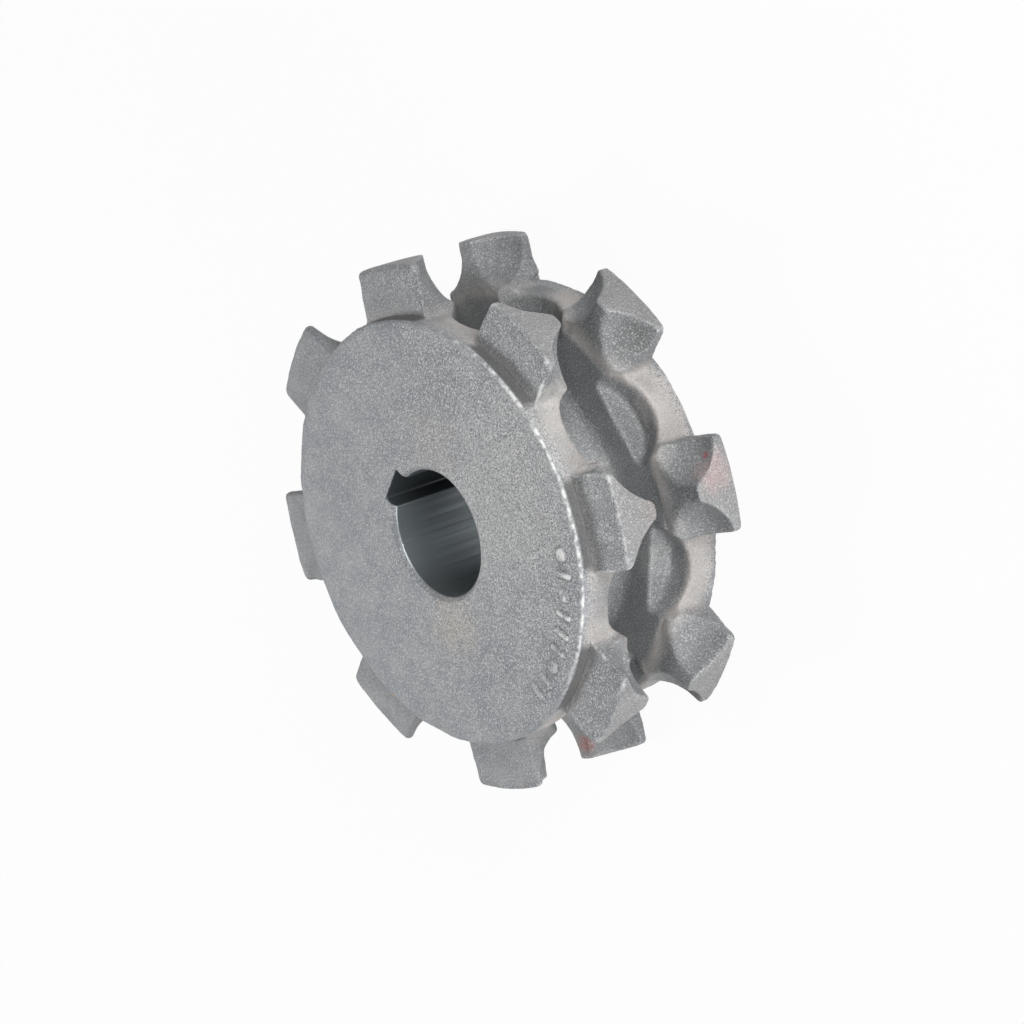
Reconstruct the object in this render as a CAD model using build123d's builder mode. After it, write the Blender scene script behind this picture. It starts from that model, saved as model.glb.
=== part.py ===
from build123d import *
import math
import os

# A pocket wheel for round-link chain, sand cast in one piece. Two toothed flanges stand either
# side of a deep groove. Upright links run in the groove, and flat links lie in round pockets that
# are cut across both flanges. The wheel lies on its rear face: +Z is the axis, and the origin is
# the centre of the rear face.

# The chain that the wheel carries
chain_wire = 10.0  # diameter of a link's wire
chain_pitch = 28.0  # inside length of a link
link_width = 36.0  # outside width of a link
pocket_count = 8

# Lengths along the axis
hub_length = 61.0  # over both hub faces
teeth_length = 51.0  # over the outer faces of both rows of teeth
groove_width = 19.0

# Heights counted from the pocket floors
rim_rise = 10.6  # up to the rim
tooth_rise = 28.6  # up to the tips of the teeth
groove_depth = 14.4  # down to the groove's bottom

# Bore and keyway, after the usual table for this shaft
bore_diameter = 45.0
bore_chamfer = 1.5
key_width = 14.0
key_depth = 3.8  # beyond the bore
key_angle = 90.0  # the keyway points at a tooth

# Pockets
pocket_clearance = 0.5  # between a link's side and the pocket's wall
pocket_floor_radius = 2.0
pocket_lip_radius = 1.5

# Teeth
tooth_width = 33.0  # across the outer face
tooth_root_radius = 2.5
tooth_tip_radius = 2.5
nose_width = 5.2  # across the tip, beside the groove
nose_radius = 2.4
flank_radius = 24.5  # hollow of a flank, seen down onto the tip
flank_draft = 5.0  # degrees
flank_root_radius = 14.5

# Finish of the hub and the groove
hub_edge_radius = 0.8
groove_corner_radius = 6.0

# Foundry marks raised on the front face: a row of bars and round pips near the edge
mark_height = 0.8
mark_draft = 20.0  # degrees
mark_inset = 8.5  # from the hub's edge to the middle of a mark
mark_start = 258.0  # degrees
mark_step = 6.2  # degrees
bar_length = 7.5
bar_width = 2.4
pip_diameter = 5.0
mark_row = ["bar", "bar", "pip", "bar", "bar", "bar", "pip", "bar", "pip"]

# Where the links lie: a flat link's wire centres are the ends of a chord of the pitch circle
half_step = math.radians(90 / pocket_count)
pitch_radius = math.hypot(chain_pitch / math.sin(half_step), chain_wire / math.cos(half_step)) / 2
flat_link_angle = math.asin((chain_pitch + chain_wire) / 2 / pitch_radius)
floor_height = pitch_radius * math.cos(flat_link_angle) - chain_wire / 2
rim_radius = floor_height + rim_rise
tip_radius = floor_height + tooth_rise
groove_radius = floor_height - groove_depth
pocket_radius = link_width / 2 + pocket_clearance

bore_radius = bore_diameter / 2
mid_height = hub_length / 2
flange_thickness = (teeth_length - groove_width) / 2
tooth_angle = 360 / pocket_count
clear_radius = tip_radius + tooth_rise  # well outside the wheel

# The rounding of the hub's edge stays within the step down to the teeth
hub_rounding = min(hub_edge_radius, 0.45 * (hub_length - teeth_length))

# A flank is hollowed about a line beside the tooth, as far off as leaves the nose its width
flank_offset = nose_width / 2 + math.sqrt(flank_radius**2 - (groove_width / 2) ** 2)
draft = math.tan(math.radians(flank_draft))
flank_foot_radius = flank_radius - (tip_radius - rim_radius) * draft
flank_top_radius = flank_radius + (clear_radius - tip_radius) * draft


def at_radius(radius):
    """Gives a test for corners and edges whose middle lies at this distance from the axis."""
    return lambda shape: abs(math.hypot(shape.center().X, shape.center().Y) - radius) < 0.01


# Outline of one tooth with its roots, seen along the axis. The tooth points along +X.
with BuildSketch() as tooth_outline:
    Circle(rim_radius)
    Rectangle(clear_radius, tooth_width, align=(Align.MIN, Align.CENTER))
    root_corners = tooth_outline.vertices().filter_by(at_radius(rim_radius))
    fillet(root_corners, radius=tooth_root_radius)
    Circle(tip_radius, mode=Mode.INTERSECT)
    tip_corners = tooth_outline.vertices().filter_by(at_radius(tip_radius))
    fillet(tip_corners, radius=tooth_tip_radius)
    with Locations((groove_radius, 0)):
        Rectangle(
            clear_radius, clear_radius, align=(Align.MIN, Align.CENTER), mode=Mode.INTERSECT
        )

# The hollow that is cut beside a tooth, turned about the X axis
with BuildPart() as flank_cutter:
    with BuildSketch():
        with BuildLine():
            Polyline(
                (rim_radius, 0),
                (rim_radius, flank_foot_radius),
                (clear_radius, flank_top_radius),
                (clear_radius, 0),
                close=True,
            )
        make_face()
    revolve(axis=Axis.X)
    foot_edge = flank_cutter.edges().filter_by(GeomType.CIRCLE).sort_by(Axis.X)[0]
    fillet(foot_edge, radius=flank_root_radius)

# A pocket seen from its own floor: a round hole along the X axis
with BuildPart() as pocket_cutter:
    with Locations((floor_height, 0, 0)):
        Cylinder(
            pocket_radius,
            clear_radius - floor_height,
            rotation=(0, 90, 0),
            align=(Align.CENTER, Align.CENTER, Align.MIN),
        )
    floor_edge = pocket_cutter.edges().filter_by(GeomType.CIRCLE).sort_by(Axis.X)[0]
    fillet(floor_edge, radius=pocket_floor_radius)

# One tooth of the upper row. Its groove side lies on the XY plane.
with BuildPart() as tooth:
    add(tooth_outline.sketch)
    extrude(amount=flange_thickness)
    with Locations((0, flank_offset, -groove_width / 2), (0, -flank_offset, -groove_width / 2)):
        add(flank_cutter.part, mode=Mode.SUBTRACT)
    groove_side = tooth.faces().sort_by(Axis.Z)[0]
    nose_edges = groove_side.edges().filter_by(
        lambda edge: edge.geom_type in (GeomType.BSPLINE, GeomType.HYPERBOLA)
    )
    fillet(nose_edges, radius=nose_radius)

# The whole casting
with BuildPart() as sprocket:
    # Hub, rims and groove, as one turned shape with the bore
    with BuildSketch(Plane.XZ) as turned_profile:
        with Locations((bore_radius, 0)):
            Rectangle(rim_radius - bore_radius, hub_length, align=Align.MIN)
        bore_corners = turned_profile.vertices().group_by(Axis.X)[0]
        chamfer(bore_corners, length=bore_chamfer)
        hub_corners = turned_profile.vertices().group_by(Axis.X)[-1]
        fillet(hub_corners, radius=hub_rounding)
        with Locations((groove_radius, mid_height)):
            Rectangle(
                rim_radius, groove_width, align=(Align.MIN, Align.CENTER), mode=Mode.SUBTRACT
            )
        groove_corners = turned_profile.vertices().filter_by(
            lambda corner: abs(corner.X - groove_radius) < 0.01
        )
        fillet(groove_corners, radius=groove_corner_radius)
    revolve(axis=Axis.Z)

    # Keyway, right through the bore
    with BuildSketch():
        with PolarLocations(0, 1, start_angle=key_angle):
            Rectangle(bore_radius + key_depth, key_width, align=(Align.MIN, Align.CENTER))
    extrude(amount=hub_length, mode=Mode.SUBTRACT)

    # Foundry marks
    with BuildSketch(Plane.XY.offset(hub_length)):
        for place, mark in enumerate(mark_row):
            mark_angle = mark_start + place * mark_step
            with PolarLocations(rim_radius - mark_inset, 1, start_angle=mark_angle):
                if mark == "bar":
                    SlotOverall(bar_length, bar_width)
                else:
                    Circle(pip_diameter / 2)
    extrude(amount=mark_height, taper=mark_draft)

    # Both rows of teeth
    upper_side = Plane.XY.offset(mid_height + groove_width / 2)
    lower_side = Plane((0, 0, mid_height - groove_width / 2), x_dir=(1, 0, 0), z_dir=(0, 0, -1))
    with Locations(upper_side, lower_side):
        with PolarLocations(0, pocket_count):
            add(tooth.part)

    # Pockets between the teeth
    with Locations((0, 0, mid_height)):
        with PolarLocations(0, pocket_count, start_angle=tooth_angle / 2):
            add(pocket_cutter.part, mode=Mode.SUBTRACT)

    # The rounding of a pocket's lip runs along the rim and on over the roots of the teeth
    lip_edges = sprocket.edges().filter_by(GeomType.BSPLINE).filter_by(at_radius(rim_radius))
    fillet(lip_edges, radius=pocket_lip_radius)

sprocket.part.label = "sprocket"
os.makedirs("parts", exist_ok=True)
export_step(sprocket.part, "parts/sprocket.step")
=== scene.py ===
import bmesh
import bpy
import math
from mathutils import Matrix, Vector, noise


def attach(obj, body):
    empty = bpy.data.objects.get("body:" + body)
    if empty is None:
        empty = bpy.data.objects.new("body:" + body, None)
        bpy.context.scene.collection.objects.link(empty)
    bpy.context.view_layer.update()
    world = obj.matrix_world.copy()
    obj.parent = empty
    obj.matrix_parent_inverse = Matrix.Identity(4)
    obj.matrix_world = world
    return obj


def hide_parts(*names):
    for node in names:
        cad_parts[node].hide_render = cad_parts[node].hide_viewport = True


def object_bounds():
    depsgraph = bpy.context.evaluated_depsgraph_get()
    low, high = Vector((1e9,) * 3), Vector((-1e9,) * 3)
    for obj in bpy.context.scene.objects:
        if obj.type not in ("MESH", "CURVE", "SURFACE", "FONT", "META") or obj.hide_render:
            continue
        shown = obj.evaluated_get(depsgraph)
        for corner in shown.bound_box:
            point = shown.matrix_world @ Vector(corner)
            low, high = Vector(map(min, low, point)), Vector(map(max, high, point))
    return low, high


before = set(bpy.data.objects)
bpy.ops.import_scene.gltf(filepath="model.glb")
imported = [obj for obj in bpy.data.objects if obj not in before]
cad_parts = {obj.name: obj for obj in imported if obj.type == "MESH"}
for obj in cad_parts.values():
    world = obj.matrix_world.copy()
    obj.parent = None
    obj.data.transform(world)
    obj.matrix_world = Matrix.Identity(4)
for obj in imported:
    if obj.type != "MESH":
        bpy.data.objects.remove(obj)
cad_low, cad_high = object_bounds()


# The casting
# One piece of grey iron, poured in a sand mould and shot blasted. The sand leaves soft hollows, slow
# waves and a fine pitted skin, with ragged ridges at some tooth roots. The tips of the teeth are then
# ground, and the bore and the keyway are machined, so those stay true.

# The wheel's own sizes
middle = 0.0305  # height of the middle of the groove
groove_half = 0.0095
row_depth = 0.016  # thickness of a row of teeth
rim_radius = 0.075
tip_radius = 0.093
tooth_count = 8
machined_radius = 0.0241  # the bore with its chamfer
bore_radius = 0.0225
keyway_half = 0.007
keyway_reach = 0.0263

# The mesh
weld_distance = 0.000001
mesh_spacing = 0.00052
level_passes = 3
most_triangles = 197000
smooth_factor = 0.5  # of each pass
edge_passes = 7  # on the edges
edge_share = 0.3  # of these, on most edges
mark_share = 0.08  # of these, on the hub face and its marks
ground_share = 0.5  # of these, less on the ground tips
hollow_passes = 20  # more of them, between the rows of teeth
flank_share = 0.5  # of these, on the flanks of the teeth
tip_passes = 32  # more of them, on the tips of the front row

# Where the smoothing comes in: radii, heights and distances out from the groove's side
hollow_start = (0.046, 0.050)
hollow_side = (0.0142, 0.0128)
hollow_end = (tip_radius - 0.0030, tip_radius - 0.0012)
flank_start = (0.068, 0.074)
ground_start = (tip_radius - 0.0012, tip_radius - 0.0004)
front_edges = 0.0505  # height
front_corners = (rim_radius, rim_radius + 0.003)
front_tips = (0.0460, 0.0480)  # heights
tip_start = (tip_radius - 0.0090, tip_radius - 0.0050)
hub_top = 0.0604  # height
hub_edge = rim_radius - 0.0015

# The cast skin
wave_length = 0.009
wave_depth = 0.00045
pit_length = 0.0021
pit_depth = 0.00016
large_pits = 0.7  # of the pits' depth
fine_pits = 0.3  # the rest of it
finer = 2.3  # times as fine as the large pits
warp_length = 0.034
warp_reach = 0.00030
warp_seed = 7
hub_share = 0.15  # of the waves and pits, on the hub faces and the marks
hub_flat = rim_radius - 0.002  # the hub's flat faces reach this far out
mark_foot = 0.0608  # the raised marks stand above this height
level_face = 0.95  # how much of a flat face's normal lies along the axis
outer_faces = groove_half + row_depth - 0.001  # those of the teeth lie past this from the middle
skin_start = 0.001  # the skin comes in over this distance beside a machined face
tip_truth = 0.8  # how much of the true form a ground tip keeps
true_tip = (tip_radius - 0.0008, tip_radius - 0.0002)
bore_skin = 0.00005  # what lies this close to the bore is made truly round

# Ragged lumps that the sand left: place, reach and height
lumps = [
    # The ridge along one tooth's root
    ((0.0650, -0.0398, 0.0505), 0.0032, 0.0020),
    ((0.0650, -0.0404, 0.0475), 0.0032, 0.0024),
    ((0.0652, -0.0412, 0.0445), 0.0036, 0.0028),
    ((0.0655, -0.0425, 0.0415), 0.0036, 0.0024),
    # A bump at a root of the rear row
    ((0.0665, 0.0430, 0.0070), 0.0060, 0.0022),
    # The fold at the next tooth's root
    ((0.0085, -0.0790, 0.0425), 0.0042, 0.0018),
    ((0.0165, -0.0762, 0.0461), 0.0038, 0.0018),
    # A small bump on the far side
    ((-0.0790, 0.0130, 0.0540), 0.0040, 0.0008),
]
lump_grain = 0.0016
lump_body = 0.8  # of its height
lump_ragged = 0.6  # of its height, either way
lump_slope = 1.5  # power of the fall to its edge


def settle(piece):
    """Gives a piece the mesh that its modifiers make, and takes them off."""
    depsgraph = bpy.context.evaluated_depsgraph_get()
    finished = bpy.data.meshes.new_from_object(piece.evaluated_get(depsgraph))
    piece.modifiers.clear()
    piece.data = finished


def rise(value, low, high):
    """Runs from 0 to 1 as a value goes from low to high."""
    return min(max((value - low) / (high - low), 0), 1)


# The solid's own form on an even mesh
solid = bpy.data.objects.new("solid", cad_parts["sprocket"].data.copy())
bpy.context.scene.collection.objects.link(solid)
shell = bmesh.new()
shell.from_mesh(solid.data)
bmesh.ops.remove_doubles(shell, verts=shell.verts, dist=weld_distance)
shell.to_mesh(solid.data)
shell.free()
casting = bpy.data.objects.new("casting", solid.data.copy())
bpy.context.scene.collection.objects.link(casting)
remesh = casting.modifiers.new("even mesh", "REMESH")
remesh.mode = "VOXEL"
remesh.voxel_size = mesh_spacing
level = casting.modifiers.new("level steps", "SMOOTH")
level.factor = smooth_factor
level.iterations = level_passes
wrap = casting.modifiers.new("true form", "SHRINKWRAP")
wrap.wrap_method = "NEAREST_SURFACEPOINT"
wrap.target = solid
settle(casting)
bpy.data.objects.remove(solid)

# The hollows between the rows are softer than the outer edges, and the front tips are well rounded
hollows = casting.vertex_groups.new(name="hollows")
edges = casting.vertex_groups.new(name="edges")
tips = casting.vertex_groups.new(name="tips")
for vert in casting.data.vertices:
    radius = math.hypot(vert.co.x, vert.co.y)
    from_groove = abs(vert.co.z - middle) - groove_half
    hollow = rise(radius, *hollow_start) * rise(from_groove, *hollow_side)
    hollow *= 1 - (1 - flank_share) * rise(radius, *flank_start)
    hollow *= 1 - rise(radius, *hollow_end)
    if hollow > 0:
        hollows.add([vert.index], hollow, "REPLACE")
    edge = edge_share
    if vert.co.z > front_edges:
        edge += (1 - edge_share) * rise(radius, *front_corners)
    if vert.co.z > hub_top and radius < hub_edge:
        edge = mark_share
    edge *= 1 - ground_share * rise(radius, *ground_start)
    edges.add([vert.index], edge, "REPLACE")
    tip = rise(vert.co.z, *front_tips) * rise(radius, *tip_start)
    if tip > 0:
        tips.add([vert.index], tip, "REPLACE")
for name, passes in (("hollows", hollow_passes), ("edges", edge_passes), ("tips", tip_passes)):
    soften = casting.modifiers.new(name, "SMOOTH")
    soften.factor = smooth_factor
    soften.iterations = passes
    soften.vertex_group = name
settle(casting)
casting.vertex_groups.clear()

# Waves, pits and lumps of the cast skin, on a form that is slightly warped. Without a seed the warp
# would follow the clock, and each run would give another one.
noise.seed_set(warp_seed)
skin = bmesh.new()
skin.from_mesh(casting.data)
skin.normal_update()
moves = []
for vert in skin.verts:
    place = vert.co
    radius = math.hypot(place.x, place.y)
    true_form = 1 - rise(radius, machined_radius, machined_radius + skin_start)
    if 0 < place.y < keyway_reach + skin_start and abs(place.x) < keyway_half + skin_start:
        beside = rise(abs(place.x), keyway_half, keyway_half + skin_start)
        beyond = rise(place.y, keyway_reach, keyway_reach + skin_start)
        true_form = max(true_form, 1 - max(beside, beyond))
    true_form = max(true_form, tip_truth * rise(radius, *true_tip))
    on_hub = radius < hub_flat and (abs(vert.normal.z) > level_face or place.z > mark_foot)
    waves = noise.noise(place / wave_length)
    pits = noise.noise(place / pit_length) * large_pits
    pits += noise.noise(place / pit_length * finer) * fine_pits
    depth = (waves * wave_depth + pits * pit_depth) * (hub_share if on_hub else 1)
    warp = noise.noise_vector(place / warp_length) * warp_reach
    if on_hub or abs(place.z - middle) > outer_faces:
        warp.z = 0
    move = (warp - vert.normal * depth) * (1 - true_form)
    for lump, reach, height in lumps:
        away = (place - Vector(lump)).length
        if away < reach:
            ragged = lump_body + lump_ragged * noise.noise(place / lump_grain)
            move += vert.normal * height * ragged * (1 - away / reach) ** lump_slope
    moves.append(move)
for vert, move in zip(skin.verts, moves):
    vert.co += move
skin.to_mesh(casting.data)
skin.free()
thin = casting.modifiers.new("fewer faces", "DECIMATE")
thin.ratio = most_triangles / (2 * len(casting.data.polygons))
thin.use_collapse_triangulate = True
settle(casting)

# Nothing stands out of the solid's box, and the bore is round
for vert in casting.data.vertices:
    vert.co = Vector(min(max(vert.co[i], cad_low[i]), cad_high[i]) for i in range(3))
    radius = math.hypot(vert.co.x, vert.co.y)
    if radius < bore_radius + bore_skin:
        vert.co.xy *= bore_radius / radius
for face in casting.data.polygons:
    face.use_smooth = True
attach(casting, "root")
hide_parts("sprocket")

# Blasted grey iron: shot blasting leaves the bare iron matt and light grey, with a bright and dark
# speckle from its dents. The rims' lands carry a faint warm bloom of rust, the groove between the rows
# is painted darker as shade, and the machined bore is darker and smoother. Highlights on the outer
# edges and on the side that the lamps light best, and shade in the corners, are painted too.

grit = 0.00042  # between two dents
wide_dents = grit * 2.4
wide_share = 1.4  # of the wide dents, to one of the fine ones
dent_depth = 0.00014
bore_level = 1.2  # the mean of the dents, so that no step shows beside the smooth bore
speck_size = 0.0006  # bare bright grains
mottle = 0.009  # light and dark patches
bloom = 0.024  # patches of rust
ring_breaks = 0.0012  # size of the ragged breaks in the painted highlight along the hub's edge
highlight_patches = 0.003  # patches where the painted highlights break up
lit_side = (0.82, -0.57, 0)  # the side that the lamps light best, where speckle and edge highlights are painted stronger
skin_tones = ("#8d9095", "#9ea0a3")
# painted shade between the rows of teeth
painted_shade_tone, painted_shade_strength = "#70716f", 0.55
land_tone, land_strength = "#bdb7b3", 0.85
ground_tone, ground_strength = "#949290", 0.6
dent_tone = "#56585b"
speck_tone = "#d4d5d6"
# painted highlights on the outer edges and on the tops of the marks
highlight_tone = "#e6e6e5"
# painted shade in the creases round the marks and in the corners by the teeth
crease_shade_tone = "#4c4d4c"
keyway_tone, bore_tone = "#5c6164", "#888e91"
skin_shine, bore_shine = 0.1, 0.8  # metallic
skin_roughness, bore_roughness = 0.6, 0.40
gloss = 0.35

# How strong the speckle stays, and how plain the lands are beside the ground tips
speckle_unlit_side = 0.45  # on the side away from the lamps, where less light is painted catching the grain
speckle_in_shade, speckle_on_tips = 0.5, 0.5
land_plainness = 0.4

# Where each of these lies: distances from the groove's middle, radii, heights, distances towards the
# lit side, and at last bends, where 0.5 is a flat face and more is an outer edge
between_rows = {"From Min": 0.0262, "From Max": 0.0240}
below_tips = {"From Min": 0.0925, "From Max": 0.0915}
over_lands = {"From Min": 0.0294, "From Max": 0.0270}
land_start = {"From Min": 0.0715, "From Max": 0.0745}
land_end = {"From Min": 0.0800, "From Max": 0.0755}
ground_face = {"From Min": 0.0923, "From Max": 0.0927}
front_row = {"From Min": 0.052, "From Max": 0.0545}
hub_height = {"From Min": 0.0598, "From Max": 0.0603}
mark_tops = {"From Min": 0.06115, "From Max": 0.0615}
wall_height = {"From Min": 0.0602, "From Max": 0.0592}
row_top = 0.0548
# the ring of painted highlight along the hub's edge
edge_ring = rim_radius - 0.0004
ring_width = {"From Min": 0.0007, "From Max": 0.0003}
jitter_reach = 0.0022
wall_foot = rim_radius - 0.0001
corner_width = {"From Min": 0.0010, "From Max": 0.0005}
seam = 0.0001  # the machined finish reaches this far past an edge
# the speckle is painted stronger towards the lit side over this range
lit_speckle_range = {"From Min": -0.06, "From Max": 0.05}
lit_edges = {"From Min": 0.030, "From Max": 0.052}
lit_ring = {"From Min": 0.030, "From Max": 0.060}
outer_edge = {"From Min": 0.515, "From Max": 0.55}
inner_corner = {"From Min": 0.485, "From Max": 0.455}

# Stains, and patches of painted light and shade: place, reach, colour and strength
stains_and_painted_light = [
    # A painted pool of light on the side of the hub face that the lamps light best, and warm and dull
    # patches on the hub face
    ((0.037, -0.023, 0.061), 0.046, "#babab9", 0.60),
    ((-0.0235, -0.0218, 0.061), 0.015, "#b3ada4", 0.65),
    ((0.0309, 0.0155, 0.061), 0.016, "#ada9a3", 0.45),
    ((-0.0200, 0.0500, 0.061), 0.014, "#84878c", 0.45),
    ((0.0500, 0.0200, 0.061), 0.014, "#83868b", 0.45),
    # Traces of pink, red and tan paint
    ((0.0692, -0.0621, 0.0120), 0.009, "#cbada9", 0.45),
    ((0.0704, -0.0552, 0.0112), 0.0015, "#a8404c", 0.90),
    ((-0.0607, -0.0634, 0.0210), 0.0045, "#96605a", 0.70),
    ((-0.0797, -0.0028, 0.0560), 0.0016, "#c2a568", 0.90),
    # Painted light on lands that face the lamps
    ((0.0625, -0.0365, 0.0480), 0.008, "#b0a198", 0.30),
    ((0.0716, -0.0217, 0.0480), 0.014, "#c8c4c0", 0.75),
    ((0.0692, -0.0288, 0.0033), 0.014, "#cfc9c5", 0.60),
    ((0.0716, 0.0222, 0.0064), 0.012, "#c4bfba", 0.50),
    # Painted shade on two flanks of the rear row, and a painted shadow under the ridge
    ((0.0839, -0.0109, 0.0125), 0.010, "#5f605f", 0.55),
    ((0.0534, 0.0543, 0.0210), 0.009, "#5d5e5d", 0.60),
    ((0.0679, -0.0446, 0.0522), 0.0022, "#4a4947", 0.70),
    # Darker tips and faces of single teeth, and painted light in one pocket
    ((0.0657, -0.0657, 0.0420), 0.006, "#94857f", 0.50),
    ((0.0580, 0.0580, 0.0560), 0.016, "#7e8186", 0.40),
    ((0.0100, -0.0830, 0.0560), 0.013, "#7e8186", 0.40),
    ((0.0165, -0.0900, 0.0540), 0.012, "#7c7d7d", 0.60),
    ((0.0265, -0.0587, 0.0175), 0.009, "#bcbcbb", 0.35),
    ((0.0014, -0.0930, 0.0084), 0.010, "#8a8988", 0.55),
    ((0.0657, -0.0657, 0.0480), 0.012, "#8c8b8a", 0.35),
]


def linear(colour):
    """Turns an sRGB hex colour into the linear colour that a shader takes."""
    channels = [int(colour[i : i + 2], 16) / 255 for i in (1, 3, 5)]
    return [c / 12.92 if c < 0.04045 else ((c + 0.055) / 1.055) ** 2.4 for c in channels] + [1]


def add_node(tree, kind, inputs, output=0, **settings):
    """Adds a node, fills its inputs with values or other nodes' outputs, and gives an output."""
    node = tree.nodes.new(kind)
    for name, value in settings.items():
        setattr(node, name, value)
    for name, value in inputs.items():
        if isinstance(value, bpy.types.NodeSocket):
            tree.links.new(value, node.inputs[name])
        else:
            node.inputs[name].default_value = linear(value) if isinstance(value, str) else value
    return node.outputs[output]


iron = bpy.data.materials.new("blasted_grey_iron")
iron.use_nodes = True
tree = iron.node_tree
shader = tree.nodes["Principled BSDF"]
where = add_node(tree, "ShaderNodeTexCoord", {}, "Object")
x, y, z = add_node(tree, "ShaderNodeSeparateXYZ", {0: where}).node.outputs
flat = add_node(tree, "ShaderNodeCombineXYZ", {0: x, 1: y})
radius = add_node(tree, "ShaderNodeVectorMath", {0: flat}, "Value", operation="LENGTH")
above = add_node(tree, "ShaderNodeMath", {0: z, 1: middle}, operation="SUBTRACT")
from_middle = add_node(tree, "ShaderNodeMath", {0: above}, operation="ABSOLUTE")

patches = add_node(tree, "ShaderNodeTexNoise", {"Vector": where, "Scale": 1 / mottle, "Detail": 3})
patches = add_node(tree, "ShaderNodeMapRange", {"Value": patches, "From Min": 0.38, "From Max": 0.62})
tone = add_node(tree, "ShaderNodeMix", {0: patches, 6: skin_tones[0], 7: skin_tones[1]}, 2,
                data_type="RGBA")

# Painted shade between the rows, where the deep groove lies in shade
inside = add_node(tree, "ShaderNodeMapRange", {"Value": from_middle, **between_rows})
below = add_node(tree, "ShaderNodeMapRange", {"Value": radius, **below_tips})
shade = add_node(tree, "ShaderNodeMath", {0: inside, 1: below}, operation="MULTIPLY")
shade = add_node(tree, "ShaderNodeMath", {0: shade, 1: painted_shade_strength}, operation="MULTIPLY")
tone = add_node(tree, "ShaderNodeMix", {0: shade, 6: tone, 7: painted_shade_tone}, 2, data_type="RGBA")

# The rims' lands are light, with a faint bloom of rust
rust = add_node(tree, "ShaderNodeTexNoise", {"Vector": where, "Scale": 1 / bloom, "Detail": 3})
rust = add_node(tree, "ShaderNodeMapRange", {"Value": rust, "From Min": 0.3, "From Max": 0.6})
lands = add_node(tree, "ShaderNodeMapRange", {"Value": radius, **land_start})
short_of_teeth = add_node(tree, "ShaderNodeMapRange", {"Value": radius, **land_end})
lands = add_node(tree, "ShaderNodeMath", {0: lands, 1: short_of_teeth}, operation="MULTIPLY")
rust = add_node(tree, "ShaderNodeMath", {0: rust, 1: lands}, operation="MULTIPLY")
within = add_node(tree, "ShaderNodeMapRange", {"Value": from_middle, **over_lands})
rust = add_node(tree, "ShaderNodeMath", {0: rust, 1: within}, operation="MULTIPLY")
rust = add_node(tree, "ShaderNodeMath", {0: rust, 1: land_strength}, operation="MULTIPLY")
tone = add_node(tree, "ShaderNodeMix", {0: rust, 6: tone, 7: land_tone}, 2, data_type="RGBA")

# The ground tips are a plain grey
ground = add_node(tree, "ShaderNodeMapRange", {"Value": radius, **ground_face})
ground = add_node(tree, "ShaderNodeMath", {0: ground, 1: ground_strength}, operation="MULTIPLY")
tone = add_node(tree, "ShaderNodeMix", {0: ground, 6: tone, 7: ground_tone}, 2, data_type="RGBA")

# Each stain or painted patch fades out with a ragged edge
for place, reach, colour, strength in stains_and_painted_light:
    off = add_node(tree, "ShaderNodeVectorMath", {0: where, 1: place}, "Value", operation="DISTANCE")
    ragged = add_node(tree, "ShaderNodeTexNoise", {"Vector": where, "Scale": 2.5 / reach, "Detail": 3})
    off = add_node(tree, "ShaderNodeMath", {0: ragged, 1: -reach, 2: off}, operation="MULTIPLY_ADD")
    spot = add_node(tree, "ShaderNodeMapRange",
                     {"Value": off, "From Min": reach * 0.6, "From Max": -reach * 0.2, "To Max": strength},
                     interpolation_type="SMOOTHSTEP")
    tone = add_node(tree, "ShaderNodeMix", {0: spot, 6: tone, 7: colour}, 2, data_type="RGBA")

# The speckle is painted strongest on the side that the lamps light best, as light catching the grain,
# and fainter in the painted shade, on the lands and on the ground tips
along = add_node(tree, "ShaderNodeVectorMath", {0: flat, 1: lit_side}, "Value", operation="DOT_PRODUCT")
speckle = add_node(tree, "ShaderNodeMapRange",
                   {"Value": along, **lit_speckle_range, "To Min": speckle_unlit_side, "To Max": 1})
fainter = add_node(tree, "ShaderNodeMapRange",
                   {"Value": shade, "From Max": painted_shade_strength, "To Min": 1, "To Max": speckle_in_shade})
speckle = add_node(tree, "ShaderNodeMath", {0: speckle, 1: fainter}, operation="MULTIPLY")
plain = add_node(tree, "ShaderNodeMath", {0: lands, 1: land_plainness}, operation="MULTIPLY")
plain = add_node(tree, "ShaderNodeMath", {0: plain, 1: ground}, operation="MAXIMUM")
fainter = add_node(tree, "ShaderNodeMapRange",
                   {"Value": plain, "From Max": ground_strength, "To Min": 1, "To Max": speckle_on_tips})
speckle = add_node(tree, "ShaderNodeMath", {0: speckle, 1: fainter}, operation="MULTIPLY")

# Dents and bare grains of the blasted skin
grain = add_node(tree, "ShaderNodeTexNoise", {"Vector": where, "Scale": 1 / grit, "Detail": 1})
pits = add_node(tree, "ShaderNodeMapRange", {"Value": grain, "From Min": 0.53, "From Max": 0.37})
pits = add_node(tree, "ShaderNodeMath", {0: pits, 1: speckle}, operation="MULTIPLY")
tone = add_node(tree, "ShaderNodeMix", {0: pits, 6: tone, 7: dent_tone}, 2, data_type="RGBA")
specks = add_node(tree, "ShaderNodeTexNoise", {"Vector": where, "Scale": 1 / speck_size, "Detail": 2})
specks = add_node(tree, "ShaderNodeMapRange",
                  {"Value": specks, "From Min": 0.52, "From Max": 0.66, "To Max": 0.9})
specks = add_node(tree, "ShaderNodeMath", {0: specks, 1: speckle}, operation="MULTIPLY")
tone = add_node(tree, "ShaderNodeMix", {0: specks, 6: tone, 7: speck_tone}, 2, data_type="RGBA")

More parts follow.
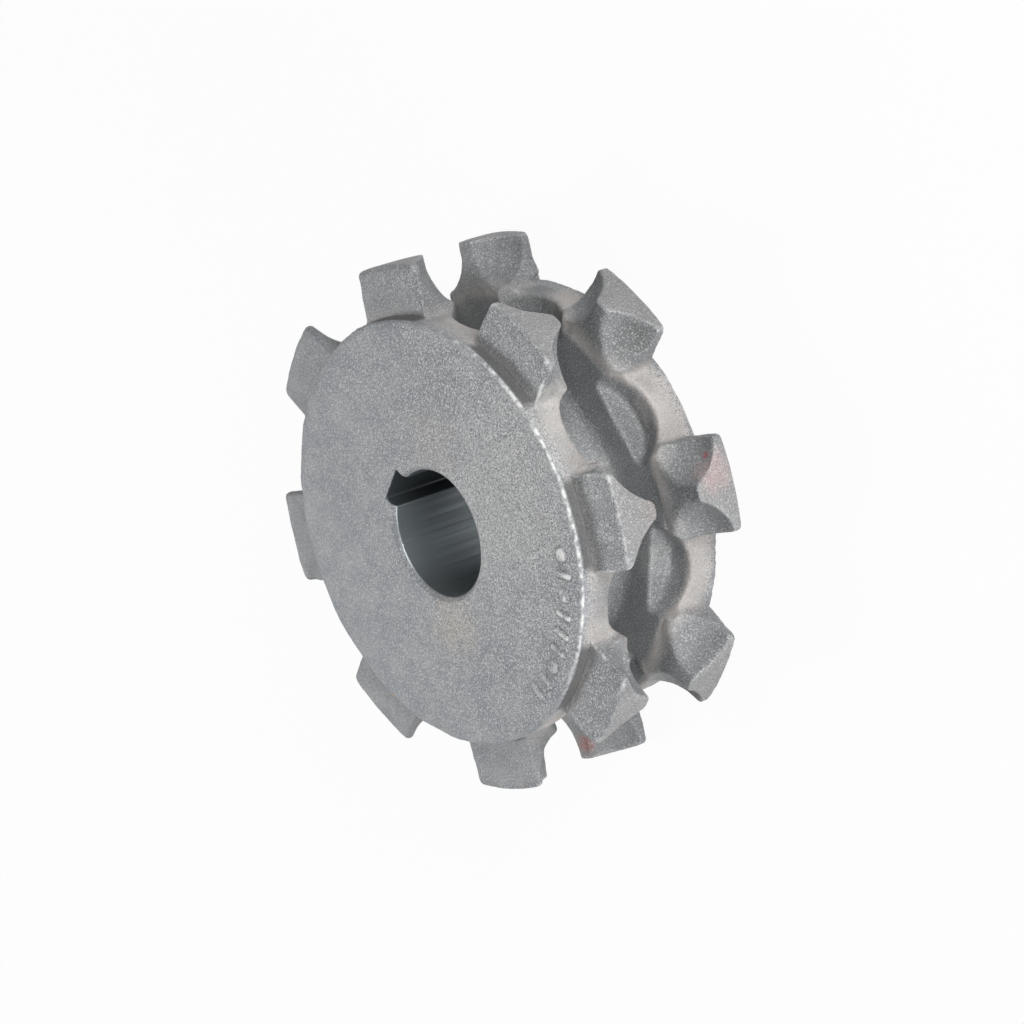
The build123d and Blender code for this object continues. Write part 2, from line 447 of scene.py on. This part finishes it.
# Painted highlights on the front row's outer edges, on the side that the lamps light best
bend = add_node(tree, "ShaderNodeNewGeometry", {}, "Pointiness")
painted_highlight = add_node(tree, "ShaderNodeMapRange", {"Value": bend, **outer_edge})
front = add_node(tree, "ShaderNodeMapRange", {"Value": z, **front_row, "To Min": 0.05})
painted_highlight = add_node(tree, "ShaderNodeMath", {0: painted_highlight, 1: front}, operation="MULTIPLY")
by_light = add_node(tree, "ShaderNodeMapRange", {"Value": along, **lit_edges})
painted_highlight = add_node(tree, "ShaderNodeMath", {0: painted_highlight, 1: by_light}, operation="MULTIPLY")

# And a painted highlight on the edge of the hub, in a thin ragged ring
from_rim = add_node(tree, "ShaderNodeMath", {0: radius, 1: edge_ring}, operation="SUBTRACT")
from_rim = add_node(tree, "ShaderNodeMath", {0: from_rim}, operation="ABSOLUTE")
ring_jitter = add_node(tree, "ShaderNodeTexNoise", {"Vector": where, "Scale": 1 / ring_breaks, "Detail": 2})
ring_jitter = add_node(tree, "ShaderNodeMath", {0: ring_jitter, 1: 0.5}, operation="SUBTRACT")
from_rim = add_node(tree, "ShaderNodeMath", {0: ring_jitter, 1: jitter_reach, 2: from_rim},
                    operation="MULTIPLY_ADD")
ring = add_node(tree, "ShaderNodeMapRange", {"Value": from_rim, **ring_width})
at_top = add_node(tree, "ShaderNodeMapRange", {"Value": z, **hub_height})
ring = add_node(tree, "ShaderNodeMath", {0: ring, 1: at_top}, operation="MULTIPLY")
by_light = add_node(tree, "ShaderNodeMapRange", {"Value": along, **lit_ring})
ring = add_node(tree, "ShaderNodeMath", {0: ring, 1: by_light}, operation="MULTIPLY")
painted_highlight = add_node(tree, "ShaderNodeMath", {0: painted_highlight, 1: ring}, operation="MAXIMUM")

# The tops of the marks get a faint painted highlight, and all of it is broken up
tops = add_node(tree, "ShaderNodeMapRange", {"Value": z, **mark_tops, "To Max": 0.3})
painted_highlight = add_node(tree, "ShaderNodeMath", {0: painted_highlight, 1: tops}, operation="MAXIMUM")
broken = add_node(tree, "ShaderNodeTexNoise", {"Vector": where, "Scale": 1 / highlight_patches, "Detail": 2})
broken = add_node(tree, "ShaderNodeMapRange",
                  {"Value": broken, "From Min": 0.42, "From Max": 0.56, "To Min": 0.1, "To Max": 0.95})
painted_highlight = add_node(tree, "ShaderNodeMath", {0: painted_highlight, 1: broken}, operation="MULTIPLY")
tone = add_node(tree, "ShaderNodeMix", {0: painted_highlight, 6: tone, 7: highlight_tone}, 2, data_type="RGBA")

# Painted shade in the creases round the marks
crease_shade = add_node(tree, "ShaderNodeMapRange", {"Value": bend, **inner_corner, "To Max": 0.8})
crease_shade = add_node(tree, "ShaderNodeMath", {0: crease_shade, 1: at_top}, operation="MULTIPLY")

# Painted shade also fills the corner between the hub and each tooth of the front row
turn = add_node(tree, "ShaderNodeMath", {0: y, 1: x}, operation="ARCTAN2")
turn = add_node(tree, "ShaderNodeMath", {0: turn, 1: tooth_count}, operation="MULTIPLY")
turn = add_node(tree, "ShaderNodeMath", {0: turn}, operation="COSINE")
by_tooth = add_node(tree, "ShaderNodeMapRange", {"Value": turn, "From Min": -0.25, "From Max": 0.1})
from_wall = add_node(tree, "ShaderNodeMath", {0: radius, 1: wall_foot}, operation="SUBTRACT")
from_wall = add_node(tree, "ShaderNodeMath", {0: from_wall}, operation="ABSOLUTE")
corner = add_node(tree, "ShaderNodeMapRange", {"Value": from_wall, **corner_width})
on_wall = add_node(tree, "ShaderNodeMapRange", {"Value": z, **wall_height, "To Max": 0.75})
above_row = add_node(tree, "ShaderNodeMath", {0: z, 1: row_top}, operation="GREATER_THAN")
for limit in (on_wall, above_row, by_tooth):
    corner = add_node(tree, "ShaderNodeMath", {0: corner, 1: limit}, operation="MULTIPLY")
crease_shade = add_node(tree, "ShaderNodeMath", {0: crease_shade, 1: corner}, operation="MAXIMUM")
tone = add_node(tree, "ShaderNodeMix", {0: crease_shade, 6: tone, 7: crease_shade_tone}, 2, data_type="RGBA")

# The bore and the keyway
in_bore = add_node(tree, "ShaderNodeMath", {0: radius, 1: bore_radius + 2 * seam}, operation="LESS_THAN")
across = add_node(tree, "ShaderNodeMath", {0: x}, operation="ABSOLUTE")
slot = add_node(tree, "ShaderNodeMath", {0: across, 1: keyway_half + seam}, operation="LESS_THAN")
keyway_side = add_node(tree, "ShaderNodeMath", {0: y, 1: 0.0}, operation="GREATER_THAN")
short_of_end = add_node(tree, "ShaderNodeMath", {0: y, 1: keyway_reach + seam}, operation="LESS_THAN")
for limit in (keyway_side, short_of_end):
    slot = add_node(tree, "ShaderNodeMath", {0: slot, 1: limit}, operation="MULTIPLY")
cut = add_node(tree, "ShaderNodeMath", {0: in_bore, 1: slot}, operation="MAXIMUM")
metal = add_node(tree, "ShaderNodeMix", {0: in_bore, 6: keyway_tone, 7: bore_tone}, 2, data_type="RGBA")
tone = add_node(tree, "ShaderNodeMix", {0: cut, 6: tone, 7: metal}, 2, data_type="RGBA")
tree.links.new(tone, shader.inputs["Base Color"])

# The blasted skin scatters light as a matt surface does, and only the machined bore shines as metal
shine = add_node(tree, "ShaderNodeMapRange", {"Value": cut, "To Min": skin_shine, "To Max": bore_shine})
tree.links.new(shine, shader.inputs["Metallic"])
rough = add_node(tree, "ShaderNodeMapRange",
                 {"Value": cut, "To Min": skin_roughness, "To Max": bore_roughness})
tree.links.new(rough, shader.inputs["Roughness"])
shader.inputs["Specular IOR Level"].default_value = gloss

# Dents of the blast. The bore is smooth.
dents = add_node(tree, "ShaderNodeTexNoise", {"Vector": where, "Scale": 1 / wide_dents, "Detail": 2})
dents = add_node(tree, "ShaderNodeMath", {0: dents, 1: wide_share, 2: grain}, operation="MULTIPLY_ADD")
height = add_node(tree, "ShaderNodeMix", {0: cut, 2: dents, 3: bore_level}, 0)
bumps = add_node(tree, "ShaderNodeBump", {"Height": height, "Strength": 0.9, "Distance": dent_depth})
tree.links.new(bumps, shader.inputs["Normal"])
casting.data.materials.clear()
casting.data.materials.append(iron)


# Floor
# A plain sheet of white paper that the wheel lies on. The camera and reflections see it nearly
# white, and it keeps a soft shadow.

floor_half = 6  # metres
shadow_hidden = 0.95  # how much of the floor's look is plain white
floor_mesh = bpy.data.meshes.new("floor")
floor_shape = bmesh.new()
bmesh.ops.create_grid(floor_shape, x_segments=1, y_segments=1, size=floor_half)
floor_shape.to_mesh(floor_mesh)
floor_shape.free()
floor = bpy.data.objects.new("floor", floor_mesh)
bpy.context.scene.collection.objects.link(floor)
paper = bpy.data.materials.new("white_paper")
paper.use_nodes = True
tree = paper.node_tree
matt = tree.nodes["Principled BSDF"]
matt.inputs["Base Color"].default_value = linear("#ececec")
matt.inputs["Roughness"].default_value = 0.9
rays = add_node(tree, "ShaderNodeLightPath", {}, "Is Camera Ray").node.outputs
seen = add_node(tree, "ShaderNodeMath", {0: rays["Is Camera Ray"], 1: rays["Is Glossy Ray"]},
                operation="MAXIMUM")
seen = add_node(tree, "ShaderNodeMath", {0: seen, 1: rays["Is Transmission Ray"]}, operation="MAXIMUM")
seen = add_node(tree, "ShaderNodeMath", {0: seen, 1: shadow_hidden}, operation="MULTIPLY")
white = add_node(tree, "ShaderNodeEmission", {"Color": "#ffffff", "Strength": 1})
both = add_node(tree, "ShaderNodeMixShader", {0: seen, 1: matt.outputs[0], 2: white})
tree.links.new(both, tree.nodes["Material Output"].inputs["Surface"])
floor_mesh.materials.append(paper)


# Lamps and walls
# Three broad soft lamps: two stand low in front, to either side of the camera, and one high behind
# the wheel, so that light skims the hub face. White walls all round show in reflections, but light
# the wheel only faintly.

# Name, azimuth and elevation in degrees, distance, power in watts and width
lamps = [
    ("right_lamp", -22, 17, 1.0, 7.1, 0.5),
    ("left_lamp", -88, 9, 1.0, 6.0, 0.5),
    ("back_lamp", 146, 39, 1.6, 12.7, 0.55),
]
wall_light = 0.10
for name, azimuth, elevation, distance, watts, width in lamps:
    light = bpy.data.lights.new(name, "AREA")
    light.shape = "SQUARE"
    light.size = width
    light.energy = watts
    lamp = bpy.data.objects.new(name, light)
    bpy.context.scene.collection.objects.link(lamp)
    out = math.cos(math.radians(elevation))
    towards = Vector((math.cos(math.radians(azimuth)) * out, math.sin(math.radians(azimuth)) * out,
                      math.sin(math.radians(elevation))))
    lamp.location = towards * distance + Vector((0, 0, middle))
    lamp.rotation_euler = towards.to_track_quat("Z", "Y").to_euler()
world = bpy.data.worlds.new("white_walls")
bpy.context.scene.world = world
world.use_nodes = True
tree = world.node_tree
walls = tree.nodes["Background"]
walls.inputs["Color"].default_value = linear("#ffffff")
walls.inputs["Strength"].default_value = wall_light
rays = add_node(tree, "ShaderNodeLightPath", {}, "Is Camera Ray").node.outputs
seen = add_node(tree, "ShaderNodeMath", {0: rays["Is Camera Ray"], 1: rays["Is Glossy Ray"]},
                operation="MAXIMUM")
seen = add_node(tree, "ShaderNodeMath", {0: seen, 1: rays["Is Transmission Ray"]}, operation="MAXIMUM")
white = add_node(tree, "ShaderNodeBackground", {"Color": "#ffffff", "Strength": 1})
both = add_node(tree, "ShaderNodeMixShader", {0: seen, 1: walls.outputs[0], 2: white})
tree.links.new(both, tree.nodes["World Output"].inputs["Surface"])
bpy.context.scene.view_settings.view_transform = "Standard"


# Camera
# It stands in front of the hub face at the photograph's viewing angle, and is rolled over so that
# the wheel's axis points left and a little down in the picture.

camera_place = Vector((0.84470, -0.59164, 0.79462))
camera_aim = Vector((0.00049, -0.00212, 0.02833))
camera_roll = 109.47  # degrees
view_size = 1024  # pixels
focal_length = 3718.2  # pixels
sensor_width = 36  # millimetres
camera_data = bpy.data.cameras.new("camera")
camera_data.sensor_width = sensor_width
camera_data.lens = focal_length / view_size * sensor_width
camera = bpy.data.objects.new("camera", camera_data)
bpy.context.scene.collection.objects.link(camera)
camera.location = camera_place
line = camera_place - camera_aim
look = line.to_track_quat("Z", "Y").to_matrix().to_4x4()
roll = look.Rotation(math.radians(-camera_roll), 4, "Z")
camera.rotation_euler = (look @ roll).to_euler()
bpy.context.scene.camera = camera
